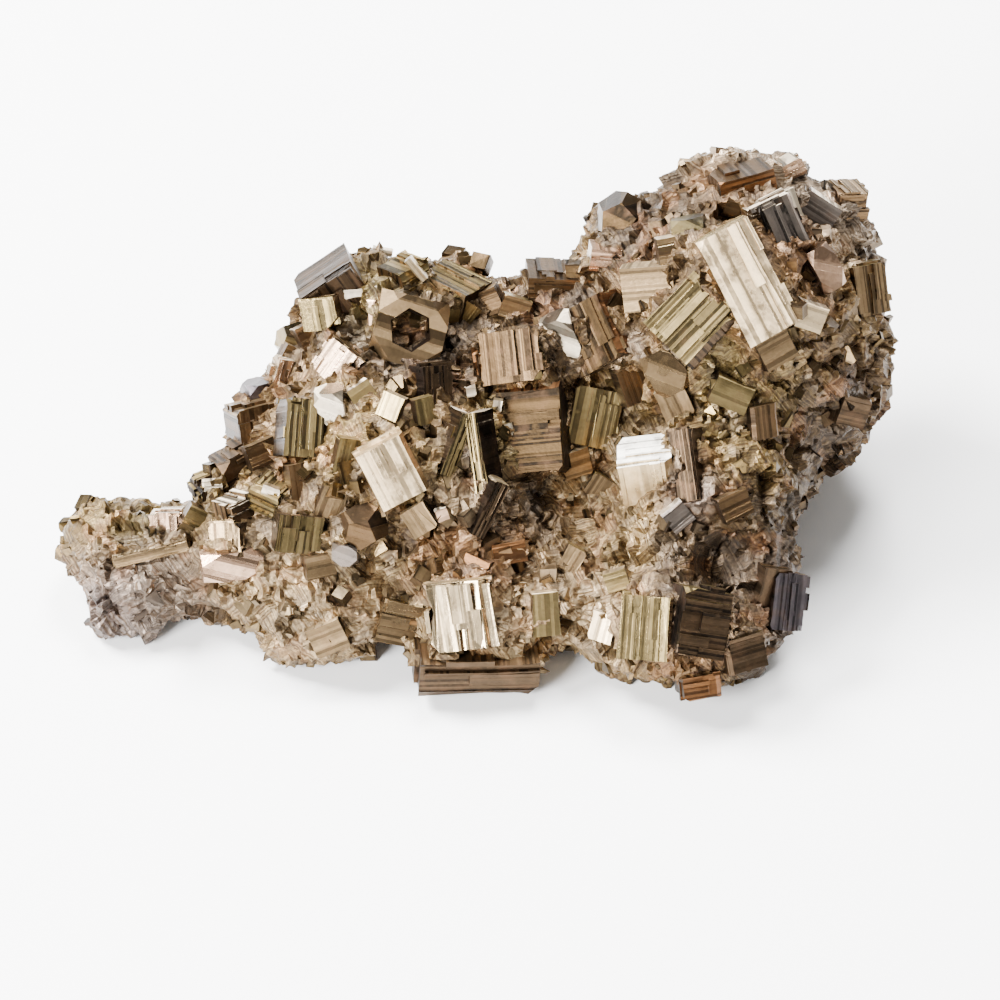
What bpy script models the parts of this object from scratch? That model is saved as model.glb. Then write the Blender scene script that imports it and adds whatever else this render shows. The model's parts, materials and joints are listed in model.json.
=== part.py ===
"""Pyrite specimen: a hand-sized cluster of striated pyrite crystals, rooted in its own granular rock.

Run with:  blender --background --python part.py

Metres, +Z up. The specimen lies on its flat underside, with its crystal side turned up and towards -Y.
The origin is under the middle of the bounding box, on the resting plane.
"""

import math
from collections import namedtuple

import bmesh
import bpy
from mathutils import Matrix, Vector
from mathutils.bvhtree import BVHTree

MM = 0.001

# Driving dimensions.
GAP = 0.3 * MM              # clearance left all round a crystal in the socket that it grew in
LOBE_FACETS = 3             # subdivisions of the spheres that the rock is blocked out with
ROCK_GRID = 2.2 * MM        # edge of the rock's facets
LUMP_SPACING = 7.0 * MM     # distance between the lumps of the broken rock
LUMP_RELIEF = 3.0 * MM      # height from the hollows to the tops of the lumps
FACE_LEAN = 45.0            # degrees by which the crystal side leans back from upright
FOOT_REACH = 24.0 * MM      # how far the rock's foot lies from its middle, where heights on a side start
RAY_START = 200.0 * MM      # how far out a line towards the rock starts

# The rock, blocked out as overlapping rounded lobes: centre and half-sizes in millimetres.
Lobe = namedtuple("Lobe", "centre half_size")
LOBES = {
    "tongue": Lobe((-33.5, -5, 5.5), (7.4, 5.6, 4.6)),
    "tongue_foot": Lobe((-32, -10.5, 3.5), (6.2, 5, 4.6)),
    "shoulder": Lobe((-19.5, -6, 6), (8, 10.5, 9)),
    "shoulder_top": Lobe((-18.5, 4.5, 11), (5.2, 6, 7)),
    "middle": Lobe((-7, 0, 8), (17, 14, 14)),
    "crown": Lobe((-9.5, 12, 17), (8.6, 7.5, 9)),
    "crown_right": Lobe((-2, 14, 17), (6, 6, 7.5)),
    "saddle": Lobe((6, 9, 13), (9, 10.5, 11)),
    "brow": Lobe((15, 16, 21), (6, 6.5, 7.5)),
    "dome": Lobe((25, 10, 17), (14, 12, 16)),
    "crest": Lobe((26, 18.5, 25.5), (9.5, 8, 8)),
    "crest_right": Lobe((33.5, 17, 20), (7.5, 7, 9.5)),
    "flank": Lobe((32.5, 10, 13.5), (8.7, 9, 11.5)),
    "right_wall": Lobe((23, -4, 8), (9.4, 12, 12)),
    "front_foot": Lobe((20, -13.5, 5), (10.8, 9.5, 8)),
    "front_middle": Lobe((3, -9.5, 4.5), (12.5, 9, 7.5)),
    "front_left": Lobe((-15.5, -12.5, 4), (8.8, 7, 6)),
}

# The sides on which crystals are laid out: degrees by which each is turned about the vertical.
FRONT, RIGHT, BACK, LEFT = 0.0, 90.0, 180.0, 270.0

# The finishes that the crystals are grouped by: colour and roughness. All are metallic.
FINISHES = {
    "pyrite_brown": ((0.33, 0.23, 0.15), 0.34),
    "pyrite_olive": ((0.47, 0.41, 0.24), 0.30),
    "pyrite_cream": ((0.78, 0.68, 0.52), 0.24),
    "pyrite_dark": ((0.17, 0.13, 0.10), 0.30),
    "pyrite_rust": ((0.45, 0.25, 0.12), 0.38),
    "pyrite_grey": ((0.40, 0.37, 0.35), 0.36),
}
ROCK_COLOUR = (0.27, 0.22, 0.18)
ROCK_ROUGHNESS = 0.6

# One crystal: its habit and size, where it sits on its side of the specimen (across from the middle and
# up from the foot), how far its centre stands off the rock, how it is turned, and its finish. Millimetres
# and degrees. Pitch tips its top face out, yaw turns its front to the right, roll turns it anticlockwise.
Crystal = namedtuple("Crystal", "name side habit size across up stand pitch yaw roll finish")
CRYSTALS = (
    # The crown: the raised knot of crystals left of the middle.
    Crystal("crown_block", FRONT, "cube", (6.0, 6.2, 6.0), -12.8, 40.7, -0.9, 26, -6, 36, "pyrite_dark"),
    Crystal("crown_tip", FRONT, "cube", (3.8, 3.6, 3.6), -6.4, 42.2, -0.4, 30, 40, 8, "pyrite_olive"),
    Crystal("crown_right_block", FRONT, "cube", (5.4, 4.4, 4.8), -1.9, 40.6, -0.8, 30, -28, -12, "pyrite_brown"),
    Crystal("hopper_crystal", FRONT, "hopper", (6.8, 6.6, 6.0), -6.3, 37.4, 0.0, 2, 8, -14, "pyrite_grey"),
    Crystal("crown_tan_cube", FRONT, "cube", (3.6, 3.0, 3.4), -14.2, 39.2, 1.7, 14, -20, 10, "pyrite_cream"),
    Crystal("pink_striated_cube", FRONT, "cube", (4.0, 3.8, 3.8), -12.3, 34.4, 0.3, 20, -8, -36, "pyrite_cream"),
    Crystal("left_ear_crystal", FRONT, "pyritohedron", (3.6, 3.6, 3.6), -17.2, 36.4, -0.1, 18, 24, 10, "pyrite_olive"),
    Crystal("left_splinter", FRONT, "cube", (1.6, 3.6, 1.8), -18.6, 33.2, 0.8, 18, 26, -16, "pyrite_cream"),
    Crystal("white_wedge", FRONT, "bevelled_cube", (2.8, 3.2, 2.6), -13.4, 30.2, 0.3, 24, -10, 8, "pyrite_cream"),
    # The left shoulder, below the crown.
    Crystal("grey_bead", FRONT, "bevelled_cube", (2.8, 2.4, 2.6), -20.6, 31.4, 0.0, 20, 24, 6, "pyrite_grey"),
    Crystal("shoulder_rust_block", FRONT, "cube", (4.4, 3.2, 3.8), -21.2, 28.9, -0.7, 16, 22, 8, "pyrite_rust"),
    Crystal("shoulder_plate", FRONT, "cube", (5.6, 2.8, 3.2), -22.0, 25.0, -1.1, 28, 16, 22, "pyrite_brown"),
    Crystal("olive_tower", FRONT, "cube", (3.8, 5.4, 3.8), -16.5, 27.8, 0.2, -4, 20, -4, "pyrite_olive"),
    Crystal("cream_tablet", FRONT, "cube", (5.0, 5.9, 3.4), -7.7, 24.0, 0.3, 14, 4, 27, "pyrite_cream"),
    Crystal("shoulder_cube_left", FRONT, "cube", (2.8, 2.8, 2.8), -25.2, 22.2, -0.1, 34, 24, 8, "pyrite_dark"),
    Crystal("shoulder_cube_middle", FRONT, "cube", (2.8, 2.6, 2.8), -22.6, 20.1, 0.2, 20, 34, 14, "pyrite_dark"),
    Crystal("shoulder_cube_right", FRONT, "cube", (3.2, 2.8, 3.0), -19.2, 21.6, -0.1, 36, -20, -12, "pyrite_olive"),
    Crystal("olive_cube_wide", FRONT, "cube", (4.4, 3.6, 3.8), -16.7, 18.3, -0.4, 12, 14, -8, "pyrite_olive"),
    Crystal("olive_cube_small", FRONT, "cube", (3.2, 2.9, 3.0), -22.9, 17.6, -0.1, 6, -22, 3, "pyrite_olive"),
    Crystal("bud_crystal", FRONT, "pyritohedron", (4.8, 4.4, 4.4), -10.4, 18.7, -0.3, 24, 18, 22, "pyrite_brown"),
    Crystal("bud_companion", FRONT, "bevelled_cube", (2.4, 2.2, 2.2), -11.9, 16.3, 0.7, 26, -10, 4, "pyrite_cream"),
    # The middle: the dark hollow, its pillars and the striated blocks round it.
    Crystal("dark_pillar", FRONT, "cube", (3.2, 4.4, 3.2), -4.0, 31.8, -0.2, 8, 28, 2, "pyrite_dark"),
    Crystal("striated_cube", FRONT, "cube", (5.8, 5.0, 4.6), 4.0, 34.6, 0.0, -4, -12, 6, "pyrite_brown"),
    Crystal("striated_cube_step", FRONT, "cube", (2.4, 2.6, 2.8), 0.4, 34.2, 0.2, 4, 34, 10, "pyrite_rust"),
    Crystal("spark_crystal", FRONT, "bevelled_cube", (3.0, 5.0, 3.0), 8.7, 36.5, 0.4, 20, -14, 24, "pyrite_olive"),
    Crystal("saddle_block", FRONT, "cube", (7.4, 3.8, 4.6), 8.8, 41.6, -1.4, 26, 6, -4, "pyrite_brown"),
    Crystal("amber_wall", FRONT, "cube", (5.4, 6.4, 4.6), 12.2, 36.9, -0.9, -8, -30, 24, "pyrite_rust"),
    Crystal("banded_block", FRONT, "cube", (6.2, 8.6, 4.8), 5.9, 27.8, -0.5, -4, -14, 4, "pyrite_dark"),
    Crystal("comb_crystal", FRONT, "cube", (5.0, 5.6, 3.8), 11.4, 29.2, -0.8, 6, 12, -12, "pyrite_grey"),
    Crystal("blade_left", FRONT, "cube", (1.6, 6.2, 3.0), -2.0, 26.6, 0.2, 6, 30, -20, "pyrite_olive"),
    Crystal("blade_middle", FRONT, "cube", (1.4, 8.0, 3.2), 1.2, 25.6, 0.8, 6, -30, 8, "pyrite_olive"),
    Crystal("blade_right", FRONT, "cube", (1.6, 5.6, 2.8), 1.2, 20.6, 0.4, 8, 26, -26, "pyrite_olive"),
    Crystal("white_topped_cube", FRONT, "cube", (5.2, 4.6, 4.6), 16.6, 24.0, 0.5, 36, -8, 12, "pyrite_cream"),
    Crystal("amber_prism", FRONT, "cube", (2.8, 6.8, 3.0), 20.6, 24.4, -0.4, -2, -30, 8, "pyrite_rust"),
    # The dome: the tall mass at the right, with the largest faces.
    Crystal("dome_cream_slab", FRONT, "cube", (5.4, 11.2, 3.2), 25.7, 41.7, -0.6, 10, 6, 28, "pyrite_cream"),
    Crystal("dome_striated_cube", FRONT, "cube", (6.4, 6.6, 4.4), 20.9, 37.9, -0.8, 4, -6, -44, "pyrite_olive"),
    Crystal("dome_wedge", FRONT, "bevelled_cube", (3.6, 4.4, 3.2), 18.4, 33.4, -0.4, 8, -6, 28, "pyrite_cream"),
    Crystal("zebra_crystal", FRONT, "cube", (4.2, 5.0, 3.2), 28.8, 47.4, 0.0, 14, 10, 24, "pyrite_dark"),
    Crystal("green_bead", FRONT, "bevelled_cube", (3.2, 2.2, 2.4), 20.6, 46.9, -0.1, 14, -14, 12, "pyrite_dark"),
    Crystal("brow_crystal", FRONT, "pyritohedron", (5.6, 5.2, 5.0), 14.6, 48.0, -0.4, 16, 20, -34, "pyrite_brown"),
    Crystal("brow_glint", FRONT, "cube", (3.0, 2.4, 2.6), 12.6, 44.4, 0.5, 24, 8, -8, "pyrite_cream"),
    Crystal("crest_block", FRONT, "cube", (5.6, 3.4, 3.6), 25.8, 51.2, -0.7, 26, 14, 10, "pyrite_rust"),
    Crystal("crest_glint", FRONT, "cube", (3.4, 2.0, 2.2), 30.0, 52.8, 0.1, 26, 10, 24, "pyrite_cream"),
    Crystal("crest_right_block", FRONT, "cube", (3.4, 3.0, 3.4), 36.0, 50.0, -0.9, 26, 26, -8, "pyrite_brown"),
    Crystal("cheek_crystal", FRONT, "cube", (4.2, 4.8, 3.8), 37.2, 41.4, -1.3, 8, 30, 8, "pyrite_grey"),
    Crystal("orange_facet", FRONT, "bevelled_cube", (2.6, 4.4, 2.4), 33.4, 43.2, -0.1, 12, 16, 28, "pyrite_rust"),
    # The front edge, near the surface that the specimen lies on.
    Crystal("front_striated_block", FRONT, "cube", (6.6, 6.2, 4.4), -0.8, 10.4, 0.3, 8, -8, 8, "pyrite_cream"),
    Crystal("front_pale_block", FRONT, "cube", (5.6, 4.2, 4.0), -6.6, 9.6, -0.8, 8, 16, -14, "pyrite_cream"),
    Crystal("hanging_crystal", FRONT, "cube", (11.4, 4.2, 5.2), 0.4, 5.6, 3.6, 38, 8, -4, "pyrite_rust"),
    Crystal("foot_striated_cube", FRONT, "cube", (5.0, 6.0, 4.2), 16.4, 9.2, -0.7, 4, -6, -4, "pyrite_cream"),
    Crystal("foot_dark_block", FRONT, "cube", (4.8, 6.4, 4.2), 21.0, 9.7, -0.5, 2, 22, -10, "pyrite_dark"),
    Crystal("foot_ember", FRONT, "cube", (3.8, 2.4, 3.2), 21.3, 3.8, -0.3, 14, 12, 6, "pyrite_rust"),
    Crystal("corner_block", FRONT, "cube", (3.4, 5.4, 3.4), 29.4, 11.6, 0.2, 4, 20, -6, "pyrite_dark"),
    # The tongue: the low arm at the left.
    Crystal("tongue_cube", FRONT, "cube", (3.0, 2.8, 2.6), -29.2, 18.6, 0.0, 14, -10, 3, "pyrite_cream"),
    Crystal("tongue_blade", FRONT, "cube", (7.2, 1.3, 2.2), -30.6, 16.2, 0.2, 14, -4, 14, "pyrite_cream"),
    Crystal("cream_shard", FRONT, "bevelled_cube", (5.8, 2.8, 2.8), -22.8, 15.2, 0.0, 20, 8, 6, "pyrite_cream"),
    # The far side, which is mostly broken rock.
    Crystal("back_upper_cube", BACK, "cube", (6.0, 5.6, 5.6), -26.0, 15.0, -1.4, 24, 18, 14, "pyrite_brown"),
    Crystal("back_twin_cube", BACK, "cube", (4.6, 4.2, 4.4), -18.6, 13.0, -1.2, 16, -24, -12, "pyrite_olive"),
    Crystal("back_lower_cube", BACK, "cube", (5.2, 4.8, 5.0), 9.0, 14.0, -1.3, 20, 28, 8, "pyrite_olive"),
)


def clear_scene():
    for obj in list(bpy.data.objects):
        bpy.data.objects.remove(obj)


def metal(name, colour, roughness, metallic=1.0):
    """A plain Principled finish."""
    material = bpy.data.materials.new(name)
    material.use_nodes = True
    shader = material.node_tree.nodes["Principled BSDF"]
    shader.inputs["Base Color"].default_value = (*colour, 1.0)
    shader.inputs["Roughness"].default_value = roughness
    shader.inputs["Metallic"].default_value = metallic
    return material


def object_from(bm, name, collection):
    mesh = bpy.data.meshes.new(name)
    bm.to_mesh(mesh)
    bm.free()
    obj = bpy.data.objects.new(name, mesh)
    collection.objects.link(obj)
    return obj


# ---------------------------------------------------------------------------------------------------
# Crystal habits. Each is a bmesh centred on the origin that just fills a box of the given size.


def cube(size):
    bm = bmesh.new()
    bmesh.ops.create_cube(bm, size=1.0, matrix=Matrix.Diagonal((*size, 1.0)))
    return bm


def cut_with_form(size, form, reach):
    """A cube cut by every plane of a crystal form, in the unit cube's own proportions.

    form gives a plane's indices, whose cyclic orders and signs make the other planes. reach is where a
    plane crosses the axis of its largest index, as a share of the unit cube's half-size.
    """
    bm = cube((1.0, 1.0, 1.0))
    distance = 0.5 * reach * max(form) / Vector(form).length
    orders = {form[i:] + form[:i] for i in range(3)}
    for order in sorted(orders):
        for signs in range(8):
            normal = Vector([-value if signs >> axis & 1 else value for axis, value in enumerate(order)])
            normal.normalize()
            geometry = bm.verts[:] + bm.edges[:] + bm.faces[:]
            bmesh.ops.bisect_plane(
                bm, geom=geometry, dist=1e-6, plane_co=normal * distance, plane_no=normal, clear_outer=True
            )
            bmesh.ops.holes_fill(bm, edges=bm.edges, sides=0)
    bmesh.ops.scale(bm, vec=Vector(size), verts=bm.verts)
    return bm


def pyritohedron(size):
    """Pyrite's own form, twelve five-sided faces with indices 210, which just meet over the cube faces."""
    return cut_with_form(size, (2, 1, 0), 1.0)


def bevelled_cube(size):
    """A cube whose corners are cut by the octahedron."""
    return cut_with_form(size, (1, 1, 1), 2.35)


HABITS = {"cube": cube, "pyritohedron": pyritohedron, "bevelled_cube": bevelled_cube, "hopper": bevelled_cube}


def hopper_pit(size):
    """The cutter of a hopper crystal's hollow: a six-sided funnel that opens on the front."""
    width, height, depth = size
    bm = bmesh.new()
    bmesh.ops.create_cone(
        bm,
        cap_ends=True,
        segments=6,
        radius1=0.20 * width,
        radius2=0.33 * width,
        depth=0.7 * depth,
        matrix=Matrix.Translation((0, 0.01 * height, 0.25 * depth)) @ Matrix.Rotation(0.3, 4, "Z"),
    )
    return bm


# ---------------------------------------------------------------------------------------------------
# The rock.


def rock_blank(collection):
    """The rock before any crystal is let in: merged lobes, lumpy, and flat where it rests."""
    bm = bmesh.new()
    for lobe in LOBES.values():
        place = Matrix.Translation(Vector(lobe.centre) * MM) @ Matrix.Diagonal((*(Vector(lobe.half_size) * MM), 1))
        bmesh.ops.create_icosphere(bm, subdivisions=LOBE_FACETS, radius=1.0, matrix=place)
    blocked_out = object_from(bm, "rock_lobes", collection)

    merge = blocked_out.modifiers.new("merge", "REMESH")
    merge.mode = "VOXEL"
    merge.voxel_size = ROCK_GRID
    lumps = bpy.data.textures.new("rock_lumps", "VORONOI")
    lumps.noise_scale = LUMP_SPACING
    lumps.noise_intensity = 1.0
    rough = blocked_out.modifiers.new("rough", "DISPLACE")
    rough.texture = lumps
    rough.texture_coords = "LOCAL"
    rough.strength = -LUMP_RELIEF
    rough.mid_level = 0.45
    settle = blocked_out.modifiers.new("settle", "REMESH")
    settle.mode = "VOXEL"
    settle.voxel_size = ROCK_GRID

    bpy.context.view_layer.update()
    evaluated = blocked_out.evaluated_get(bpy.context.evaluated_depsgraph_get())
    bm = bmesh.new()
    bm.from_mesh(evaluated.data)
    bpy.data.objects.remove(blocked_out)
    bmesh.ops.bisect_plane(
        bm,
        geom=bm.verts[:] + bm.edges[:] + bm.faces[:],
        dist=0.001 * MM,
        plane_co=(0, 0, 0),
        plane_no=(0, 0, -1),
        clear_outer=True,
    )
    bmesh.ops.holes_fill(bm, edges=bm.edges, sides=0)
    bmesh.ops.triangulate(bm, faces=bm.faces)
    return object_from(bm, "granular_rock", collection)


# ---------------------------------------------------------------------------------------------------
# Setting the crystals.


def side_axes(turn):
    """The axes of one side of the specimen: across it, up it, and out of it."""
    return (Matrix.Rotation(math.radians(turn), 3, "Z") @ Matrix.Rotation(math.radians(90 - FACE_LEAN), 3, "X"))


def placement(crystal, rock_surface):
    """Where a crystal stands: on the rock, under its place on the layout of its side."""
    axes = side_axes(crystal.side)
    foot = Matrix.Rotation(math.radians(crystal.side), 3, "Z") @ Vector((0, -FOOT_REACH, 0))
    across, up, out = (axes.col[i] for i in range(3))
    start = foot + (across * crystal.across + up * crystal.up) * MM + out * RAY_START
    hit = rock_surface.ray_cast(start, -out)[0]
    if hit is None:
        raise ValueError(f"{crystal.name} is laid out beside the rock")
    turned = (
        Matrix.Rotation(math.radians(crystal.roll), 3, "Z")
        @ Matrix.Rotation(math.radians(crystal.pitch), 3, "X")
        @ Matrix.Rotation(math.radians(crystal.yaw), 3, "Y")
    )
    centre = hit + out * crystal.stand * MM
    return Matrix.Translation(centre) @ (axes @ turned).to_4x4()


def cut(obj, cutter, name):
    boolean = obj.modifiers.new(name, "BOOLEAN")
    boolean.operation = "DIFFERENCE"
    boolean.solver = "EXACT"
    boolean.object = cutter


def as_cutter(obj):
    obj.hide_render = True
    obj.display_type = "WIRE"


def reach_of(size):
    return Vector(size).length / 2


def grow_crystals(rock, finishes, parts, cutters):
    """Adds every crystal, its socket in the rock, and the clearance to the crystals that grew before it."""
    bpy.context.view_layer.update()
    rock_surface = BVHTree.FromObject(rock, bpy.context.evaluated_depsgraph_get())
    grown = []
    for crystal in CRYSTALS:
        size = Vector(crystal.size) * MM
        place = placement(crystal, rock_surface)
        obj = object_from(HABITS[crystal.habit](size), crystal.name, parts)
        obj.matrix_world = place
        obj.data.materials.append(finishes[crystal.finish])
        if crystal.habit == "hopper":
            pit = object_from(hopper_pit(size), f"{crystal.name}_pit", cutters)
            pit.matrix_world = place
            as_cutter(pit)
            cut(obj, pit, "pit")

        room = size + Vector((2 * GAP,) * 3)
        socket = object_from(HABITS[crystal.habit](room), f"{crystal.name}_socket", cutters)
        socket.matrix_world = place
        as_cutter(socket)
        for other, other_place, other_room in grown:
            distance = (place.translation - other_place.translation).length
            if distance < reach_of(room) + reach_of(other_room):
                cut(obj, other, f"beside_{other.name}")
        grown.append((socket, place, room))
        cut(rock, socket, f"socket_{crystal.name}")


def centre_on_origin(parts, cutters):
    """Hangs everything on one empty, and moves that so that the origin is under the middle of the box."""
    bpy.context.view_layer.update()
    graph = bpy.context.evaluated_depsgraph_get()
    corners = []
    for obj in parts.objects:
        evaluated = obj.evaluated_get(graph)
        corners += [evaluated.matrix_world @ vertex.co for vertex in evaluated.data.vertices]
    low = Vector(min(corner[axis] for corner in corners) for axis in range(3))
    high = Vector(max(corner[axis] for corner in corners) for axis in range(3))
    specimen = bpy.data.objects.new("specimen", None)
    parts.objects.link(specimen)
    for obj in list(parts.objects) + list(cutters.objects):
        if obj is not specimen:
            obj.parent = specimen
    specimen.location = (-(low.x + high.x) / 2, -(low.y + high.y) / 2, -low.z)


def main():
    clear_scene()
    parts = bpy.data.collections.new("pyrite_specimen")
    cutters = bpy.data.collections.new("cutters")
    for collection in (parts, cutters):
        bpy.context.scene.collection.children.link(collection)
    finishes = {name: metal(name, colour, roughness) for name, (colour, roughness) in FINISHES.items()}
    rock = rock_blank(parts)
    rock.data.materials.append(metal("granular_rock", ROCK_COLOUR, ROCK_ROUGHNESS, metallic=0.3))
    grow_crystals(rock, finishes, parts, cutters)
    centre_on_origin(parts, cutters)


main()
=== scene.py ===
import json
import math
import random

import bmesh
import bpy
from mathutils import Matrix, Vector, noise
from mathutils.bvhtree import BVHTree


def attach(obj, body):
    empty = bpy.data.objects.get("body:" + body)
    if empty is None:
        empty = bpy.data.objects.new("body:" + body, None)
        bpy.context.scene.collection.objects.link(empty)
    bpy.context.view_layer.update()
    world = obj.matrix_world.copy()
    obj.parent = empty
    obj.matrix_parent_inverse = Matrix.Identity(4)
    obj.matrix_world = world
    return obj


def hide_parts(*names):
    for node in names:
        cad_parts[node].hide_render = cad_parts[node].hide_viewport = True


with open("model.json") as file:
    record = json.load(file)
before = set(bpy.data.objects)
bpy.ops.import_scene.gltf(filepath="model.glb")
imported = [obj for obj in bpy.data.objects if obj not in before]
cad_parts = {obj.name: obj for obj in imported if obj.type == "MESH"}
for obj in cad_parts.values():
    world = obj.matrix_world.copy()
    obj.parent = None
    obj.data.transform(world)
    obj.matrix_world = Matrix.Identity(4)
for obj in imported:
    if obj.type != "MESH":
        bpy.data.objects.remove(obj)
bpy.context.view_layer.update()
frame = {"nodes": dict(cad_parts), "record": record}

nodes = frame["nodes"]

# ---------------------------------------------------------------------------------------------------
# The granular rock: massive pyrite with some grey vein rock, broken off the wall of a vein. It runs
# under and between all the crystals, which grew out of it, so its skin is drawn over rock and crystal
# roots together and is broken into small cubic steps.

MM = 0.001
SKIN_GRID = 0.34 * MM        # edge of the skin's facets
FILL = 1.7 * MM              # the skin fills every gap between crystals that is less than twice this wide
FILL_GRID = 0.55 * MM
CLEAR_OF_FACE = 0.30 * MM    # how far the skin keeps below a crystal's face
ROOT = 0.15 * MM             # skin that is nearer to a crystal than this is part of its root
LOOK = 3 * MM                # how far off a crystal is looked for
SKIN_SHARE = 0.62            # share of those facets that is kept
EDGE_ANGLE = 0.45            # facets that meet at more than this, in radians, keep a sharp edge
SPOT_SPREAD = 1.15           # how far a spot of colour reaches past its named reach
BROKEN_FACES = (             # size of the broken crystal faces, how they lean and how they are stepped
    (3.8 * MM, 0.30, 0.50 * MM, "CHEBYCHEV"),
    (1.8 * MM, 0.28, 0.22 * MM, "CHEBYCHEV"),
    (0.8 * MM, 0.16, 0.08 * MM, "CHEBYCHEV"),
)
CUBE_TURN = (0.5, 0.35, 0.9)  # how the broken steps are turned, in radians

# Places on the crystal side are given in millimetres across from the middle and up from the foot.
OUT = Vector((0, -0.7071, 0.7071))      # the direction that the crystal side faces
UP = Vector((0, 0.7071, 0.7071))        # the direction up that side
FOOT = Vector((-0.24, -26.22, 0)) * MM
CLEAR_OF_ALL = 200 * MM

# The colours of the massive rock, and where each shows: across, up, and how far it reaches.
# Some are painted light and shade. The black and dark spots are painted shade: in the hollows, in the
# gaps between crystals and over the right flank, which is turned from the light. The bone and cream
# spots are partly the rock's pale colour and partly painted light, the pale light thrown up from the
# floor along the low front.
EARTHS = {
    "brown": (0.060, 0.037, 0.015),
    "dark": (0.022, 0.014, 0.007),
    "gold": (0.098, 0.066, 0.022),
    "pale": (0.118, 0.083, 0.037),
    "cream": (0.185, 0.132, 0.065),
    "black": (0.006, 0.004, 0.003),
    "bone": (0.235, 0.178, 0.112),
    "olive": (0.074, 0.056, 0.019),
    "violet": (0.085, 0.069, 0.068),
    "rust": (0.090, 0.043, 0.016),
    "grey": (0.125, 0.100, 0.076),
}
SPOTS = {
    "black": ((24.5, 16, 2), (6.2, 21.5, 1.2), (-6.4, 38.6, 1.6)),
    "bone": (
        (-10, 10, 3), (5, 10.5, 3), (-19, 14, 3), (-16, 9, 3), (10, 10, 3), (10, 25, 3), (0, 20, 2),
        (25, 55, 3), (31, 55, 3), (35, 45, 2),
    ),
    "brown": (
        (-22, 29, 4), (-17, 21, 5), (-4, 17, 3), (0, 42, 4), (14, 35, 4), (22, 50, 3), (26, 11, 4),
    ),
    "dark": (
        (-26, 9, 2), (0, 25, 2), (3, 21, 2), (0.5, 35, 2), (-10, 34.5, 2), (-13, 37, 2), (-5, 35, 3),
        (8, 41, 4), (14, 47, 3), (22, 15, 3), (27, 6, 5), (30, 18, 5), (34, 28, 5), (42, 33, 4),
        (15.5, 50, 3), (20, 50, 3), (10, 35, 2), (-7, 34, 3), (32, 9, 3), (-3, 36, 3), (-6, 38, 2),
        (25, 17, 3), (22, 12, 3),
    ),
    "gold": (
        (10, 25, 2), (38, 41, 3), (-38, 20, 4), (-13, 27, 4), (11, 24, 3), (26, 27, 5), (20, 2, 4),
        (-25, 22, 3), (14, 30, 3),
    ),
    "pale": (
        (-5, 24, 3), (35, 40, 3), (-12, 15, 3), (-40, 15, 3), (-20, 13, 3), (-13, 9, 5), (-7, 11, 3),
        (14, 17, 3), (11, 6, 4), (29, 38, 3), (-7, 30, 2),
    ),
    "cream": ((-19, 14, 4), (-23, 7, 3), (6, 9, 4), (11, 45, 2), (14, 25, 2)),
    "olive": ((-33, 19, 3), (-26, 25, 3), (-9, 41, 4), (25, 33, 4), (4, 28, 3)),
    "violet": ((-31, 22, 2), (-35, 10, 5), (21, 22, 2), (31, 12, 3), (-21, 33, 2)),
    "rust": ((1, 15, 3), (33, 43, 4), (20, 4, 3), (-24, 31, 2), (24, 52, 2)),
    "grey": ((27, 55, 4), (34, 50, 3), (19, 52, 3), (39, 46, 4), (-30, 12, 3)),
}
# The dark holes between the crystals: across, up, radius and depth.
HOLLOWS = (
    (24.0, 15.6, 2.5, 3.0), (7.0, 22.4, 1.4, 1.3), (-7.2, 6.0, 1.2, 1.5), (-26.2, 9.3, 1.5, 2.2),
    (12.5, 33.0, 1.0, 1.4), (17.5, 29.5, 1.2, 1.4), (-19.5, 24.5, 1.2, 1.4), (-6.3, 38.0, 1.9, 2.4),
    (13.2, 40.6, 1.3, 1.4), (0.5, 21.5, 1.1, 1.4), (-2.0, 34.5, 1.3, 1.2),
)


def on_crystal_side(across, up):
    """The point of the specimen at a place on its crystal side."""
    start = FOOT + (Vector((1, 0, 0)) * across + UP * up) * MM + OUT * CLEAR_OF_ALL
    return outline.ray_cast(start, -OUT)[0] or start - OUT * CLEAR_OF_ALL


def ground_colour(point):
    """The colour of the rock at a point, blended from the spots round it, painted shade and light included.
    """
    total, colour = 0.30, Vector(EARTHS["brown"]) * 0.36
    for centre, reach, spot in spots:
        weight = math.exp(-((point - centre).length / reach) ** 2)
        colour += spot * weight
        total += weight
    return colour / total


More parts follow.
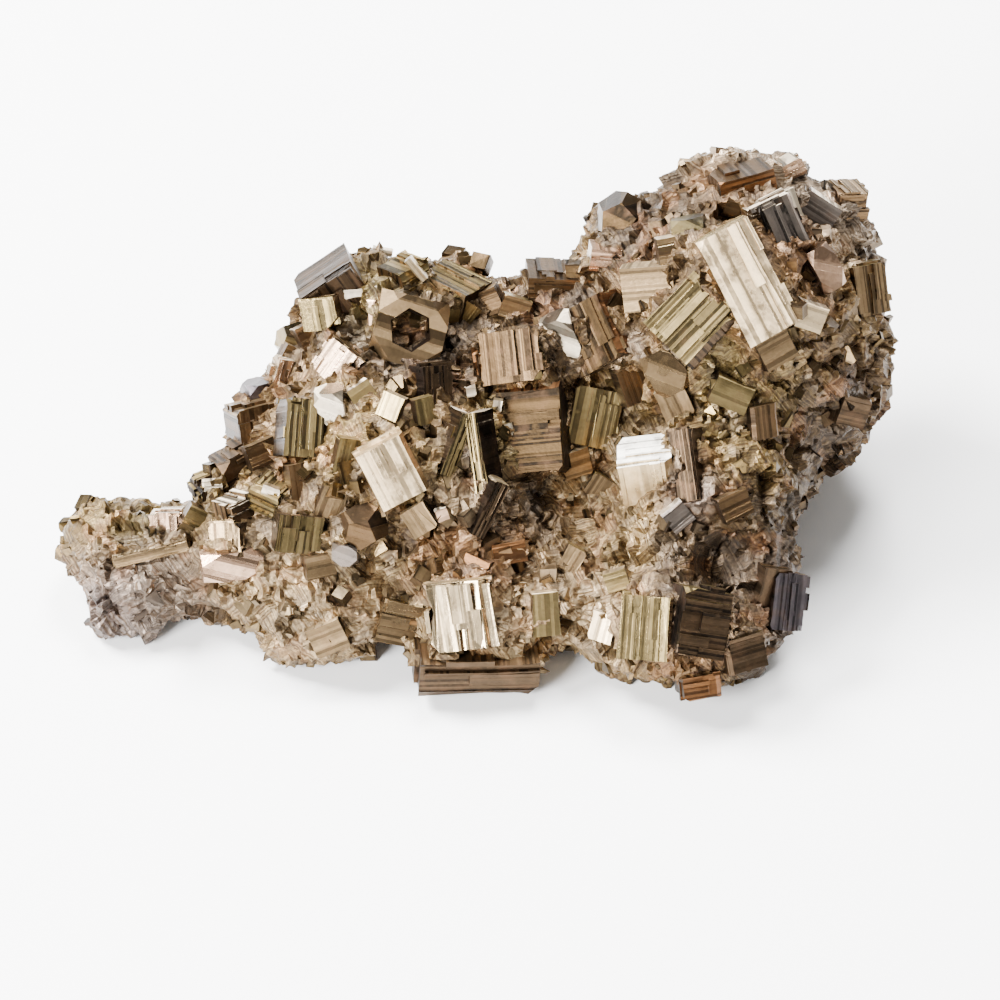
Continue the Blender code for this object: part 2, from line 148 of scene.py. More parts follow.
class Finish:
    """A material whose nodes are made by name. Its shader is a Principled BSDF."""

    def __init__(self, name):
        self.material = bpy.data.materials.new(name)
        self.material.use_nodes = True
        self.tree = self.material.node_tree
        self.shader = self.tree.nodes["Principled BSDF"]

    def join(self, socket, value):
        if isinstance(value, Signal):
            self.tree.links.new(value.socket, socket)
        else:
            socket.default_value = value

    def node(self, kind, settings, inputs, output):
        made = self.tree.nodes.new(kind)
        for key, value in settings.items():
            setattr(made, key, value)
        for key, value in inputs.items():
            self.join(made.inputs[key], value)
        return Signal(self, made.outputs[output])

    def maths(self, operation, *values):
        return self.node("ShaderNodeMath", {"operation": operation}, dict(enumerate(values)), 0)

    def blend(self, share, first, second):
        """Mixes two colours."""
        settings = {"data_type": "RGBA", "clamp_factor": True}
        return self.node("ShaderNodeMix", settings, {0: share, 6: first, 7: second}, 2)

    def tint(self, colour, factor):
        """Multiplies a colour by a number."""
        return self.node("ShaderNodeVectorMath", {"operation": "SCALE"}, {0: colour, 3: factor}, 0)

    def noise(self, vector, size, detail=2.0, roughness=0.5):
        """Clouds of a given size in metres, from 0 to 1."""
        inputs = {"Vector": vector, "Scale": 1.0 / size, "Detail": detail, "Roughness": roughness}
        return self.node("ShaderNodeTexNoise", {}, inputs, 0)

    def lines(self, along, frequency, detail=3.0):
        """Fine parallel lines, as a noise that changes in one direction only."""
        inputs = {"W": along * frequency, "Scale": 1.0, "Detail": detail, "Roughness": 0.65}
        return self.node("ShaderNodeTexNoise", {"noise_dimensions": "1D"}, inputs, 0)

    def strips(self, along):
        """Sharp-edged strips of all widths that cross one direction, each with a value from 0 to 1."""
        settings = {"voronoi_dimensions": "1D"}
        cells = self.node("ShaderNodeTexVoronoi", settings, {"W": along, "Scale": 1.0}, "Color")
        return self.node("ShaderNodeSeparateColor", {}, {0: cells}, 0)

    def set(self, **sockets):
        for key, value in sockets.items():
            self.join(self.shader.inputs[key.replace("_", " ")], value)


class Signal:
    """A socket that arithmetic can be written with. Each operation adds its Math node."""

    def __init__(self, finish, socket):
        self.finish = finish
        self.socket = socket

    def __add__(self, other):
        return self.finish.maths("ADD", self, other)

    def __rsub__(self, other):
        return self.finish.maths("SUBTRACT", other, self)

    def __mul__(self, other):
        return self.finish.maths("MULTIPLY", self, other)

    __radd__ = __add__
    __rmul__ = __mul__

    def above(self, low, high):
        """0 below low, 1 above high."""
        inputs = {"Value": self, "From Min": low, "From Max": high}
        return self.finish.node("ShaderNodeMapRange", {"clamp": True}, inputs, 0)


def solid_of(name):
    """A merged copy of a CAD node."""
    solid = bmesh.new()
    solid.from_mesh(nodes[name].data)
    bmesh.ops.remove_doubles(solid, verts=solid.verts, dist=0.001 * MM)
    return solid


def add_piece(bm, name, *materials):
    mesh = bpy.data.meshes.new(name)
    bm.to_mesh(mesh)
    bm.free()
    piece = bpy.data.objects.new(name, mesh)
    bpy.context.scene.collection.objects.link(piece)
    for material in materials:
        piece.data.materials.append(material)
    return piece


def append_solid(bm, solid):
    """Adds one bmesh to another."""
    mesh = bpy.data.meshes.new("passing")
    solid.to_mesh(mesh)
    solid.free()
    bm.from_mesh(mesh)
    bpy.data.meshes.remove(mesh)


def middle_of(bm):
    low = Vector(min(vert.co[axis] for vert in bm.verts) for axis in range(3))
    high = Vector(max(vert.co[axis] for vert in bm.verts) for axis in range(3))
    return (low + high) / 2


def broken_at(point):
    """How far the skin stands out at a point: each stretch of rock ends in its own leaning face."""
    offset = 0.0
    for size, lean, step, metric in BROKEN_FACES:
        scaled = cube_turn @ point / size
        distances, centres = noise.voronoi(scaled, distance_metric=metric)
        slope = (noise.cell_vector(centres[0] * 97.0) - Vector((0.5, 0.5, 0.5))) * 2.0
        offset += size * lean * slope.dot(scaled - centres[0])
        offset += step * (noise.cell(centres[0] * 53.0) - 0.5)
    return offset


cube_turn = Matrix.Rotation(CUBE_TURN[0], 3, "X") @ Matrix.Rotation(CUBE_TURN[1], 3, "Y")
cube_turn = cube_turn @ Matrix.Rotation(CUBE_TURN[2], 3, "Z")
crystal_names = sorted(name for name in nodes if name != "granular_rock")
blank = solid_of("granular_rock")
grown = bmesh.new()
for name in crystal_names:
    append_solid(grown, solid_of(name))
crystal_surface = BVHTree.FromBMesh(grown)
append_solid(blank, grown)
outline = BVHTree.FromBMesh(blank)
spots = [
    (on_crystal_side(across, up), reach * SPOT_SPREAD * MM, Vector(EARTHS[earth]))
    for earth, places in SPOTS.items() for across, up, reach in places
]
hollows = [(on_crystal_side(across, up), radius * MM, depth * MM) for across, up, radius, depth in HOLLOWS]
wrapped = add_piece(blank, "wrapped")
for number, (grid, move) in enumerate(((FILL_GRID, FILL), (FILL_GRID, -FILL), (SKIN_GRID, 0.0))):
    wrap = wrapped.modifiers.new(f"wrap {number}", "REMESH")
    wrap.mode = "VOXEL"
    wrap.voxel_size = grid
    swell = wrapped.modifiers.new(f"swell {number}", "DISPLACE")
    swell.mid_level = 0.0
    swell.strength = move
evaluated = wrapped.evaluated_get(bpy.context.evaluated_depsgraph_get())
skin = bmesh.new()
skin.from_mesh(evaluated.data)
bpy.data.objects.remove(wrapped)
skin.normal_update()
moves = []
for vert in skin.verts:
    near, facing, _, distance = crystal_surface.find_nearest(vert.co, LOOK)
    depth = distance * (1 if (vert.co - near).dot(facing) > 0 else -1) if near else LOOK
    rise = broken_at(vert.co)
    if depth < ROOT:
        rise = min(rise, 0.0) - CLEAR_OF_FACE
    for centre, radius, deep in hollows:
        rise -= deep * math.exp(-((vert.co - centre).length / radius) ** 2)
    moves.append(vert.normal * rise)
for vert, move in zip(skin.verts, moves):
    vert.co += move
broken = add_piece(skin, "broken")
thin = broken.modifiers.new("thin", "DECIMATE")
thin.ratio = SKIN_SHARE
evaluated = broken.evaluated_get(bpy.context.evaluated_depsgraph_get())
skin = bmesh.new()
skin.from_mesh(evaluated.data)
bpy.data.objects.remove(broken)
everything = skin.verts[:] + skin.edges[:] + skin.faces[:]
bmesh.ops.bisect_plane(
    skin, geom=everything, dist=1e-7, plane_co=(0, 0, 0), plane_no=(0, 0, -1), clear_outer=True
)
bmesh.ops.holes_fill(skin, edges=skin.edges, sides=0)
bmesh.ops.triangulate(skin, faces=[face for face in skin.faces if len(face.verts) > 4])
for face in skin.faces:
    face.smooth = True
# Each point's colour goes into an attribute: the rock's own colours with the painted shade and light of the
# spots.
tarnish_and_painted_light = skin.verts.layers.float_color.new("tarnish_and_painted_light")
for vert in skin.verts:
    vert[tarnish_and_painted_light] = (*ground_colour(vert.co), 1.0)
skin_samples = [(face.calc_center_median(), face.normal.copy(), face.calc_area()) for face in skin.faces]

LITTLE_FACE = 2.3 * MM       # size of a face on broken rock, and how far apart its lines are
LITTLE_LINE = 0.24 * MM
RUSTY = (0.120, 0.052, 0.019, 1.0)
GREYISH = (0.075, 0.064, 0.055, 1.0)
# Painted shade darkens the colour in each line's furrow, and a painted highlight brightens the rib beside it.
FURROW = (0.58, 0.46, 0.32)  # how a line darkens the colour, and how the rib beside it brightens it
RIDGE = 1.6


def mineral_colour(finish, place, colour, cell_size, line_size):
    """Breaks a colour up as broken pyrite is: into little faces, each ruled in its own way and each given its
    own brightness, a painted light and shade for faces turned to or from the light.

    Gives the colour, how much each face shines, and a height for the bump.
    """
    faces = finish.node("ShaderNodeTexVoronoi", {}, {"Vector": place, "Scale": 1.0 / cell_size}, "Color")
    face_red = finish.node("ShaderNodeSeparateColor", {}, {0: faces}, 0)
    face_green = finish.node("ShaderNodeSeparateColor", {}, {0: faces}, 1)
    wave = finish.noise(place, 2.5 * MM, detail=2.0)
    rulings = []
    for direction in ((0.8, 0.1, 0.6), (-0.3, 0.9, 0.3), (0.2, -0.6, 0.8)):
        inputs = {0: place, 1: Vector(direction).normalized()}
        along = finish.node("ShaderNodeVectorMath", {"operation": "DOT_PRODUCT"}, inputs, "Value")
        rulings.append(finish.lines(along + wave * 0.4 * MM, 1.0 / line_size))
    first = face_green.above(0.30, 0.34)
    second = face_green.above(0.64, 0.68)
    ruled = rulings[0] * (1.0 - first) + rulings[1] * first * (1.0 - second) + rulings[2] * second
    specks = finish.noise(place, 0.30 * MM, detail=3.0)
    tiny = finish.node("ShaderNodeTexVoronoi", {}, {"Vector": place, "Scale": 1.0 / (0.55 * MM)}, "Color")
    tiny_red = finish.node("ShaderNodeSeparateColor", {}, {0: tiny}, 0)
    light = (face_red * 0.6 + 0.70) * (specks.above(0.32, 0.68) * 0.7 + 0.65) * (tiny_red * 0.5 + 0.75)
    patches = finish.noise(place, 3.6 * MM, detail=3.0)
    colour = finish.blend(patches.above(0.54, 0.66) * 0.35, colour, RUSTY)
    colour = finish.blend(patches.above(0.46, 0.36) * 0.3, colour, GREYISH)
    furrow = finish.node("ShaderNodeVectorMath", {"operation": "MULTIPLY"}, {0: colour, 1: FURROW}, 0)
    coloured = finish.blend(ruled.above(0.40, 0.62), furrow, finish.tint(colour, RIDGE))
    coloured = finish.tint(coloured, light)
    return coloured, face_red, ruled * 0.8 + specks * 0.5 + tiny_red * 0.5


rock = Finish("granular_rock_skin")
place = rock.node("ShaderNodeTexCoord", {}, {}, "Object")
colour = rock.node("ShaderNodeAttribute", {"attribute_name": "tarnish_and_painted_light"}, {}, "Color")
colour, shine, height = mineral_colour(rock, place, colour, LITTLE_FACE, LITTLE_LINE)
rock.set(
    Base_Color=colour,
    Metallic=0.65,
    Roughness=shine * -0.25 + 0.58,
    Normal=rock.node("ShaderNodeBump", {}, {"Strength": 1.0, "Distance": 0.12 * MM, "Height": height}, 0),
)
rock_piece = add_piece(skin, "granular_rock_skin", rock.material)
rock_piece.data.set_sharp_from_angle(angle=EDGE_ANGLE)
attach(rock_piece, "root")
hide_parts("granular_rock")

# ---------------------------------------------------------------------------------------------------
# The crown: the raised knot of crystals left of the middle. Pyrite grows as cubes whose faces are
# ruled with fine growth lines, at right angles on neighbouring faces, and each has smaller blocks grown
# in step with it.

FAR_OUT = Vector((0, 0.7071, 0.7071))   # the direction that the far side faces, and the direction up it
FAR_UP = Vector((0, -0.7071, 0.7071))

# The colours that a face can have. The two whitest stand for glints and are painted highlights; the
# others are the crystals' own colours, laid per face together with painted light and shade.
SHADES = {
    "white": (0.72, 0.60, 0.44),
    "painted_glint_white": (0.95, 0.90, 0.80),
    "butter": (0.78, 0.58, 0.335),
    "cream": (0.54, 0.41, 0.24),
    "straw": (0.30, 0.220, 0.095),
    "pink": (0.52, 0.33, 0.21),
    "rose": (0.33, 0.22, 0.14),
    "tan": (0.225, 0.150, 0.076),
    "olive": (0.145, 0.106, 0.044),
    "moss": (0.085, 0.066, 0.030),
    "brown": (0.100, 0.060, 0.028),
    "rust": (0.140, 0.063, 0.024),
    "umber": (0.048, 0.030, 0.016),
    "deep": (0.036, 0.021, 0.008),
    "black": (0.018, 0.012, 0.009),
    "grey": (0.135, 0.112, 0.094),
    "steel": (0.072, 0.062, 0.066),
}


def block_frame(solid, out_way, up_way):
    """The middle, axes and size of a block, read from its faces. Its Z axis faces out and its Y up."""
    areas = []
    for face in solid.faces:
        for entry in areas:
            if abs(entry[0].dot(face.normal)) > 0.9995:
                entry[1] += face.calc_area()
                break
        else:
            areas.append([face.normal.copy(), face.calc_area()])
    areas.sort(key=lambda entry: -entry[1])
    axes = []
    for normal, _ in areas:
        if all(abs(normal.dot(axis)) < 0.02 for axis in axes):
            axes.append(normal)
    z_axis = max(axes, key=lambda axis: abs(axis.dot(out_way)))
    axes.remove(z_axis)
    z_axis = z_axis if z_axis.dot(out_way) > 0 else -z_axis
    y_axis = max(axes, key=lambda axis: abs(axis.dot(up_way)))
    y_axis = y_axis if y_axis.dot(up_way) > 0 else -y_axis
    x_axis = y_axis.cross(z_axis)
    axes = Matrix((x_axis, y_axis, z_axis)).transposed()
    local = [axes.transposed() @ vert.co for vert in solid.verts]
    low = Vector(min(co[axis] for co in local) for axis in range(3))
    high = Vector(max(co[axis] for co in local) for axis in range(3))
    return Matrix.Translation(axes @ ((low + high) / 2)) @ axes.to_4x4(), high - low


def rule_faces(bm, size, upright, spacing, relief, rng):
    """Cuts each face of a block into strips along one direction, and lets the lines rise and fall.

    Upright lines on the front go with level ones on the top. Each edge of the block is met by the lines
    of one face only, as the three directions follow each other round.
    """
    for axis in range(3):
        across = (axis + (1 if upright else 2)) % 3
        for side in (-1, 1):
            walls = [face for face in bm.faces if abs(face.normal[axis] - side) < 0.05]
            count = max(3, int(size[across] / spacing))
            places = sorted(rng.uniform(-0.48, 0.48) * size[across] for _ in range(count))
            normal = Vector((0, 0, 0))
            normal[across] = 1
            for number, at in enumerate(places):
                geometry = {item for wall in walls for item in (wall, *wall.edges, *wall.verts)}
                made = bmesh.ops.bisect_plane(
                    bm, geom=list(geometry), dist=0.004 * MM, plane_co=normal * at, plane_no=normal
                )
                line = [item for item in made["geom_cut"] if isinstance(item, bmesh.types.BMVert)]
                fall = rng.uniform(0.2, 1.0) * relief * (1 if number % 2 else 0.15)
                for vert in line:
                    vert.co[axis] -= side * fall
                walls = [face for face in bm.faces if abs(face.normal[axis] - side) < 0.35]


def shade_faces(bm, shades, upright, rng):
    """Colours a block's faces by the way each one faces: front, top or side, with the faces turned down
    or back alike. The shades hold the crystal's colour together with painted light and shade, such as a
    painted glint on a top. Lays the lines' own map on them.
    """
    tarnish_and_painted_light = bm.loops.layers.float_color.get("tarnish_and_painted_light") or bm.loops.layers.float_color.new("tarnish_and_painted_light")
    ruled = bm.loops.layers.uv.get("ruled") or bm.loops.layers.uv.new("ruled")
    bm.normal_update()
    start = rng.uniform(0, 50)
    for face in bm.faces:
        axis = max(range(3), key=lambda which: abs(face.normal[which]))
        name = ("side", "top", "front")[axis] if face.normal[axis] > 0 or axis == 0 else "down_or_back"
        base = Vector(SHADES[shades.get(name, shades["front"])])
        colour = base * rng.uniform(0.82, 1.16)
        across = (axis + (1 if upright else 2)) % 3
        along = 3 - axis - across
        for loop in face.loops:
            loop[tarnish_and_painted_light] = (*colour, 1.0)
            loop[ruled].uv = (loop.vert.co[along] / MM, loop.vert.co[across] / MM + start + 7 * axis)


def plain_block(size, rng, warp=0.03):
    """A block whose corners are slightly off true, as grown crystals are."""
    bm = bmesh.new()
    bmesh.ops.create_cube(bm, size=1.0, matrix=Matrix.Diagonal((*size, 1.0)))
    for axis in range(3):
        for side in (-1, 1):
            lean = Vector(rng.uniform(-warp, warp) for _ in range(3))
            for vert in bm.verts:
                if vert.co[axis] * side > 0:
                    vert.co += Vector(lean[i] * vert.co[(i + 1) % 3] for i in range(3)) * 0.5
    return bm


def split_off(bm, normal, reach, near):
    """Takes off what lies further out than reach along a direction, and closes the cut."""
    everything = bm.verts[:] + bm.edges[:] + bm.faces[:]
    bmesh.ops.bisect_plane(
        bm, geom=everything, dist=near, plane_co=normal * reach, plane_no=normal, clear_outer=True
    )
    bmesh.ops.holes_fill(bm, edges=bm.edges, sides=0)


def chip_corners(bm, size, count, rng):
    """Splits a few corners and edges off a block, as happens when a specimen is dug out."""
    for _ in range(count):
        corner = [rng.choice((-1, 1)) * rng.uniform(0.45, 1) for _ in range(3)]
        if rng.random() < 0.5:
            corner[rng.randrange(3)] = 0
        normal = Vector(corner).normalized()
        reach = max(vert.co.dot(normal) for vert in bm.verts) - rng.uniform(0.05, 0.15) * min(size)
        split_off(bm, normal, reach, 0.002 * MM)
    bmesh.ops.recalc_face_normals(bm, faces=bm.faces)


def ruled_block(size, shades, upright, rng, spacing=0.42 * MM, relief=0.05 * MM, chips=1):
    bm = plain_block(size, rng)
    chip_corners(bm, size, chips, rng)
    rule_faces(bm, size, upright, spacing, relief, rng)
    shade_faces(bm, shades, upright, rng)
    return bm


def add_plates(bm, size, shades, upright, count, rng):
    """Thin plates that grew in step with a block, along the growth lines and from the edges of its faces."""
    for _ in range(count):
        axis = rng.choice((0, 1, 2, 2))
        side = 1 if axis else rng.choice((-1, 1))
        across = (axis + (1 if upright else 2)) % 3
        thick = rng.uniform(0.08, 0.30) * MM
        small = Vector(edge * rng.uniform(0.5, 1.02) for edge in size)
        small[across] = size[across] * rng.uniform(0.10, 0.36)
        small[axis] = thick * 3
        middle = Vector(rng.choice((-0.5, 0.5)) * (size[i] - small[i]) for i in range(3))
        middle[across] = rng.uniform(-0.5, 0.5) * (size[across] - small[across])
        middle[axis] = side * (size[axis] / 2 - thick * 0.5)
        plate = ruled_block(small, shades, upright, rng, relief=0.03 * MM)
        bmesh.ops.translate(plate, vec=middle, verts=plate.verts)
        append_solid(bm, plate)


BROWN_FILM = (0.070, 0.038, 0.020, 1.0)


def pyrite_finish(name, lustre, lines, dirt):
    """Metallic pyrite, ruled with growth lines and clouded with a brown film, as tarnished pyrite is.

    lustre is its roughness, lines how strong the growth lines are, dirt how much brown film it has.
    """
    pyrite = Finish(name)
    place = pyrite.node("ShaderNodeTexCoord", {}, {}, "Object")
    colour = pyrite.node("ShaderNodeAttribute", {"attribute_name": "tarnish_and_painted_light"}, {}, "Color")
    ruled = pyrite.node("ShaderNodeUVMap", {"uv_map": "ruled"}, {}, "UV")
    across = pyrite.node("ShaderNodeSeparateXYZ", {}, {0: ruled}, "Y")
    clouds = pyrite.noise(place, 1.5 * MM, detail=3.0)
    specks = pyrite.noise(place, 0.3 * MM, detail=2.0)
    across = across + clouds * 0.10
    bands = pyrite.strips(across * 1.9)
    threads = pyrite.strips(across * 3.6)
    # The dark threads are painted shade along the grooves of the growth lines.
    dark = threads.above(0.63, 0.70) * clouds.above(0.28, 0.42)
    light = (bands * 0.4 + 0.76) * lines + (1.0 - lines)
    light = light * (1.0 - dark * (0.8 * lines)) * (specks * 0.4 + 0.80) * (clouds * 1.1 + 0.45)
    colour = pyrite.tint(colour, light)
    colour = pyrite.blend(clouds.above(0.50, 0.72) * dirt, colour, BROWN_FILM)
    # Pale colours stand for glints and are painted highlights; they are made less metallic so that they stay
    # bright from every side.
    glint = pyrite.node("ShaderNodeSeparateColor", {}, {0: colour}, 0).above(0.55, 0.80)
    height = bands * lines + threads * (0.5 * lines) + specks * 0.25
    bump = {"Strength": 1.0, "Distance": 0.06 * MM, "Height": height}
    pyrite.set(
        Base_Color=colour,
        Metallic=0.92 - glint * 0.6,
        Roughness=clouds * 0.16 + bands * 0.10 + (lustre - 0.12),
        Normal=pyrite.node("ShaderNodeBump", {}, bump, 0),
    )
    return pyrite.material


FINISHES = {
    "slab": pyrite_finish("pyrite_slab", 0.30, 0.3, 0.12),
    "pyrite_brown": pyrite_finish("pyrite_brown", 0.38, 0.9, 0.55),
    "pyrite_olive": pyrite_finish("pyrite_olive", 0.32, 1.0, 0.45),
    "pyrite_cream": pyrite_finish("pyrite_cream", 0.27, 0.8, 0.22),
    "pyrite_dark": pyrite_finish("pyrite_dark", 0.42, 1.0, 0.35),
    "pyrite_rust": pyrite_finish("pyrite_rust", 0.38, 0.8, 0.6),
    "pyrite_grey": pyrite_finish("pyrite_grey", 0.36, 0.8, 0.35),
}
slots = {entry["node"]: entry["material_slot"] for entry in frame["record"]["subparts"]}


def finish_crystal(bm, name, finish=None):
    """Makes a crystal's piece, which stands for the CAD node of the same name."""
    piece = add_piece(bm, f"{name}_grown", FINISHES[finish or slots[name]])
    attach(piece, "root")
    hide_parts(name)
    return piece


def grow_block(name, lines, front, top, side, steps=4, spacing=0.42, relief=0.05, finish=None):
    """A ruled block where the CAD has a plain one. lines is upright or level, as seen on its front."""
    rng = random.Random(name)
    solid = solid_of(name)
    far = name.startswith("back_")
    place, size = block_frame(solid, FAR_OUT if far else OUT, FAR_UP if far else UP)
    solid.free()
    shades = {"front": front, "top": top, "side": side, "down_or_back": "umber"}
    upright = lines == "upright"
    bm = ruled_block(size, shades, upright, rng, spacing * MM, relief * MM, chips=4)
    add_plates(bm, size, shades, upright, steps + 4, rng)
    bmesh.ops.transform(bm, matrix=place, verts=bm.verts)
    return finish_crystal(bm, name, finish)


def grow_form(name, shade, rings=9, relief=0.05):
    """A many-sided crystal, from its CAD form, with growth lines that run round it."""
    rng = random.Random(name)
    bm = solid_of(name)
    bmesh.ops.dissolve_limit(bm, angle_limit=0.01, verts=bm.verts, edges=bm.edges)
    centre = middle_of(bm)
    axis = Vector((0.35, 0.2, 1.0)).normalized()
    reach = max((vert.co - centre).dot(axis) for vert in bm.verts)
    for number in range(rings):
        at = centre + axis * reach * (2 * (number + rng.uniform(0.2, 0.8)) / rings - 1)
        everything = bm.verts[:] + bm.edges[:] + bm.faces[:]
        made = bmesh.ops.bisect_plane(bm, geom=everything, dist=0.004 * MM, plane_co=at, plane_no=axis)
        fall = rng.uniform(0.2, 1.0) * relief * MM * (number % 2)
        for item in made["geom_cut"]:
            if isinstance(item, bmesh.types.BMVert):
                outward = item.co - at
                outward -= axis * outward.dot(axis)
                item.co -= outward.normalized() * fall
    bm.normal_update()
    tarnish_and_painted_light = bm.loops.layers.float_color.new("tarnish_and_painted_light")
    ruled = bm.loops.layers.uv.new("ruled")
    for face in bm.faces:
        rng_face = random.Random(tuple(round(value, 1) for value in face.normal).__repr__())
        # Faces turned in towards a pit are painted black: painted shade in the pit.
        in_pit_painted_shade = (face.calc_center_median() - centre).dot(face.normal) < 0.15 * reach
        colour = Vector(SHADES["black" if in_pit_painted_shade else shade]) * rng_face.uniform(0.6, 1.35)
        for loop in face.loops:
            loop[tarnish_and_painted_light] = (*colour, 1.0)
            spread = loop.vert.co - centre
            loop[ruled].uv = (spread.dot(UP) / MM, spread.dot(axis) * 0.45 / MM)
    return finish_crystal(bm, name)


# Each block's front, top and side shades below are given per face and hold painted light and shade along with
# the crystal's colour.
grow_block("crown_block", "upright", "umber", "umber", "umber", steps=3, finish="pyrite_brown")
grow_block("crown_tip", "level", "olive", "straw", "brown", steps=2)
grow_block("crown_right_block", "upright", "tan", "olive", "umber", steps=3)
grow_form("hopper_crystal", "tan", rings=7)
grow_block("crown_tan_cube", "upright", "straw", "tan", "brown", steps=2)
grow_block("pink_striated_cube", "upright", "rose", "tan", "brown", steps=2, relief=0.12)
grow_form("left_ear_crystal", "olive")
grow_block("left_splinter", "upright", "pink", "white", "tan", steps=1)
grow_form("white_wedge", "white", rings=5)

# ---------------------------------------------------------------------------------------------------
# The left shoulder, below the crown: a staircase of olive and brown blocks of pyrite round one big
# tilted tablet, the palest on the specimen, grown together in the druse.

grow_form("grey_bead", "steel", rings=5)
grow_block("shoulder_rust_block", "upright", "brown", "tan", "umber", steps=3)
grow_block("shoulder_plate", "level", "umber", "brown", "umber", steps=3)
grow_block("olive_tower", "upright", "straw", "olive", "umber", steps=2)
grow_block("cream_tablet", "upright", "butter", "cream", "tan", steps=0, spacing=0.9, finish="slab")
grow_block("shoulder_cube_left", "upright", "umber", "straw", "black")
grow_block("shoulder_cube_middle", "level", "umber", "white", "brown")
grow_block("shoulder_cube_right", "level", "olive", "straw", "umber")
grow_block("olive_cube_wide", "upright", "olive", "brown", "umber", steps=3)
grow_block("olive_cube_small", "upright", "tan", "straw", "umber", steps=2)
grow_form("bud_crystal", "brown", rings=7)
grow_form("bud_companion", "grey", rings=3)

# ---------------------------------------------------------------------------------------------------
# The middle: pillars and blades of pyrite that stand round a dark hollow, with wide, level growth lines
# on the tall block and a bright top on the cube beside it.

grow_block("dark_pillar", "upright", "umber", "umber", "black", steps=2)
grow_block("striated_cube", "upright", "brown", "brown", "olive", steps=2, relief=0.08)
grow_block("striated_cube_step", "upright", "rust", "tan", "umber", steps=2)
grow_form("spark_crystal", "white", rings=4)
grow_block("saddle_block", "level", "brown", "brown", "umber", steps=4)
grow_block("amber_wall", "upright", "deep", "rust", "rust", steps=5)
grow_block(
    "banded_block", "level", "deep", "rust", "black", steps=3, spacing=0.5, relief=0.08, finish="pyrite_dark"
)
grow_block("comb_crystal", "upright", "straw", "cream", "brown", steps=3, relief=0.10)
grow_block("blade_left", "upright", "olive", "white", "umber", steps=2)
grow_block("blade_middle", "upright", "olive", "white", "black", steps=3)
grow_block("blade_right", "upright", "umber", "cream", "black", steps=3)
# The cube's top is painted near white as its glint: a painted highlight.
grow_block("white_topped_cube", "upright", "cream", "painted_glint_white", "tan", steps=0, spacing=0.9, finish="slab")
grow_block("amber_prism", "upright", "umber", "tan", "umber", steps=2)

# ---------------------------------------------------------------------------------------------------
# The dome: the tall mass at the right. It carries the largest faces, a tilted cream slab of pyrite and an
# olive cube ruled upwards, under a crest that is red with iron oxide.

grow_block(
    "dome_cream_slab", "upright", "butter", "straw", "tan", steps=0, spacing=1.2, relief=0.03, finish="slab"
)
grow_block("dome_striated_cube", "upright", "straw", "tan", "umber", steps=2, spacing=0.36, relief=0.08)
grow_form("dome_wedge", "tan", rings=4)
grow_block("zebra_crystal", "upright", "grey", "white", "umber", steps=3, relief=0.12)
grow_form("green_bead", "moss", rings=4)
grow_form("brow_crystal", "deep", rings=8)
grow_block("brow_glint", "level", "pink", "pink", "tan", steps=1)
grow_block("crest_block", "level", "rust", "brown", "umber", steps=3)
grow_block("crest_glint", "level", "pink", "white", "tan", steps=1)
grow_block("crest_right_block", "level", "brown", "tan", "umber", steps=6)
grow_block("cheek_crystal", "upright", "tan", "straw", "brown", steps=3)
grow_form("orange_facet", "pink", rings=5)

# ---------------------------------------------------------------------------------------------------
# The front edge and the tongue: blocks of pyrite that grew low on the rock, next to the surface that the
# specimen lies on, and the far side's few crystals.

grow_block("front_striated_block", "upright", "cream", "cream", "brown", steps=3, spacing=0.42, relief=0.34)
grow_block("front_pale_block", "level", "tan", "straw", "tan", steps=2)
grow_block("hanging_crystal", "level", "umber", "brown", "umber", steps=4, relief=0.08)
grow_block("foot_striated_cube", "upright", "straw", "straw", "tan", steps=1)
grow_block("foot_dark_block", "level", "umber", "olive", "black", steps=3)
grow_block("foot_ember", "level", "rust", "tan", "umber", steps=2)
grow_block("corner_block", "upright", "steel", "brown", "black", steps=2)
grow_block("tongue_cube", "upright", "pink", "cream", "tan", steps=1, relief=0.10)
grow_block("tongue_blade", "level", "tan", "cream", "brown", steps=1)
grow_form("cream_shard", "pink", rings=4)
grow_block("back_upper_cube", "upright", "brown", "tan", "umber", steps=5)
grow_block("back_twin_cube", "level", "olive", "tan", "umber", steps=4)
grow_block("back_lower_cube", "upright", "olive", "straw", "umber", steps=5)

# ---------------------------------------------------------------------------------------------------
# The druse: the crust of small pyrite grains, most under two millimetres, that covers the rock between
# the crystals. They grew from the rock at all angles: cubes, twelve-sided forms, chips and blades.

